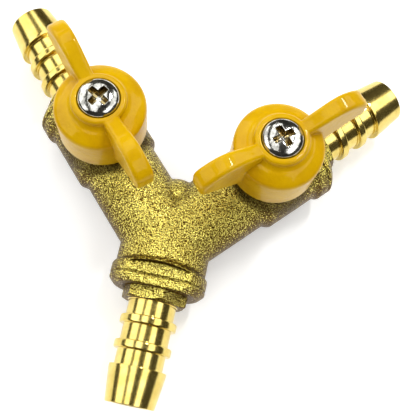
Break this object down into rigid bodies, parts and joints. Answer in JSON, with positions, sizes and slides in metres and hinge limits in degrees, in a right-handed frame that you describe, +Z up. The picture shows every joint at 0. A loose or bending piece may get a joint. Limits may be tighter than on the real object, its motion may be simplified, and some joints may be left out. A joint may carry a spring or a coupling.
{
  "type": "hose splitter",
  "caption": "Brass Y-shaped hose splitter with three barbed ports and a winged quarter-turn ball valve in each outlet arm.",
  "frame": {"origin": "below the middle of the bounding box, on the plane of the three pads that the body rests on", "axes": "+Z up from the pads towards the handles, +Y from the inlet towards the two outlets, +X to the right-hand outlet"},
  "size_m": [0.0892, 0.0802, 0.0349],
  "materials": {
    "cast_brass": "as-forged, blasted grain",
    "turned_brass": "bright turned",
    "stem_brass": "turned",
    "yellow_paint": "glossy yellow coating on cast zinc",
    "chrome": "bright plated",
    "spring_steel": "zinc plated",
    "seat_plastic": "PTFE",
    "seal_rubber": "nitrile rubber"
  },
  "bodies": {
    "root": {"body": "cast_brass", "inlet_fitting": "turned_brass", "inlet_seal": "seal_rubber", "left_outlet_fitting": "turned_brass", "left_outlet_seal": "seal_rubber", "left_inner_seat": "seat_plastic", "left_outer_seat": "seat_plastic", "left_thrust_washer": "seat_plastic", "right_outlet_fitting": "turned_brass", "right_outlet_seal": "seal_rubber", "right_inner_seat": "seat_plastic", "right_outer_seat": "seat_plastic", "right_thrust_washer": "seat_plastic"},
    "left_valve": {"left_handle": "yellow_paint", "left_handle_screw": "chrome", "left_lock_washer": "spring_steel", "left_stem": "stem_brass", "left_stem_o_rings": "seal_rubber", "left_ball": "chrome"},
    "right_valve": {"right_handle": "yellow_paint", "right_handle_screw": "chrome", "right_lock_washer": "spring_steel", "right_stem": "stem_brass", "right_stem_o_rings": "seal_rubber", "right_ball": "chrome"}
  },
  "joints": [
    {"name": "left_valve_turn", "type": "hinge", "parent": "root", "child": "left_valve", "pos_m": [-0.01749, 0.01175, 0.0096], "axis": [0, 0, 1], "range_deg": [-88.5, 1.5]},
    {"name": "right_valve_turn", "type": "hinge", "parent": "root", "child": "right_valve", "pos_m": [0.01749, 0.01175, 0.0096], "axis": [0, 0, 1], "range_deg": [-84.5, 5.5]}
  ]
}
